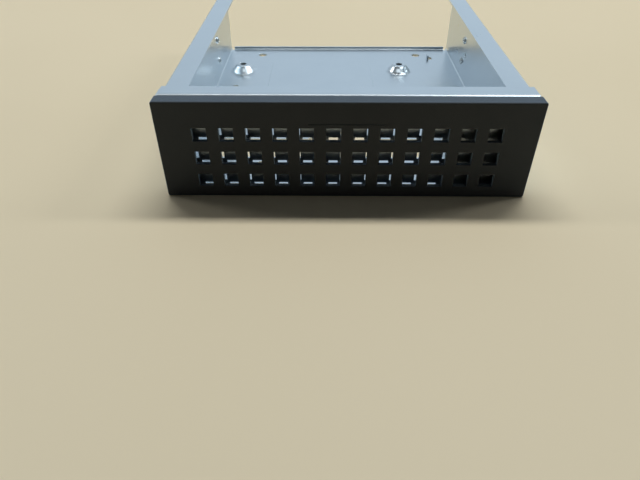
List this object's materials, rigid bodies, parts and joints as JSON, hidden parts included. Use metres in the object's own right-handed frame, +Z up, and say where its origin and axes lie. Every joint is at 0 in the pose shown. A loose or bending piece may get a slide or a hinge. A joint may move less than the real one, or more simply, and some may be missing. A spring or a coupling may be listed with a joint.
{
  "type": "drive caddy",
  "caption": "Folded sheet-metal tray that carries a small disk drive in a wider bay, open above and behind, with a perforated inner plate and a black vented front.",
  "frame": {"origin": "middle of the underside, half way from the bezel's face to the tray's rear edge", "axes": "+X to the right seen from the front, +Y from the bezel to the rear, +Z up"},
  "size_m": [0.148, 0.176, 0.0415],
  "materials": {
    "bezel_plastic": "fine matte moulded texture",
    "zinc_sheet": "zinc-plated steel sheet, semi-gloss",
    "screw_steel": "plated steel",
    "rivet_alloy": "satin"
  },
  "bodies": {
    "root": {"bezel": "bezel_plastic", "front_plate": "zinc_sheet", "tray": "zinc_sheet", "bezel_screw_left_low": "screw_steel", "bezel_screw_left_high": "screw_steel", "bezel_screw_right_low": "screw_steel", "bezel_screw_right_high": "screw_steel", "rivet_left_low": "rivet_alloy", "rivet_left_high": "rivet_alloy", "rivet_right_low": "rivet_alloy", "rivet_right_high": "rivet_alloy"}
  },
  "joints": []
}
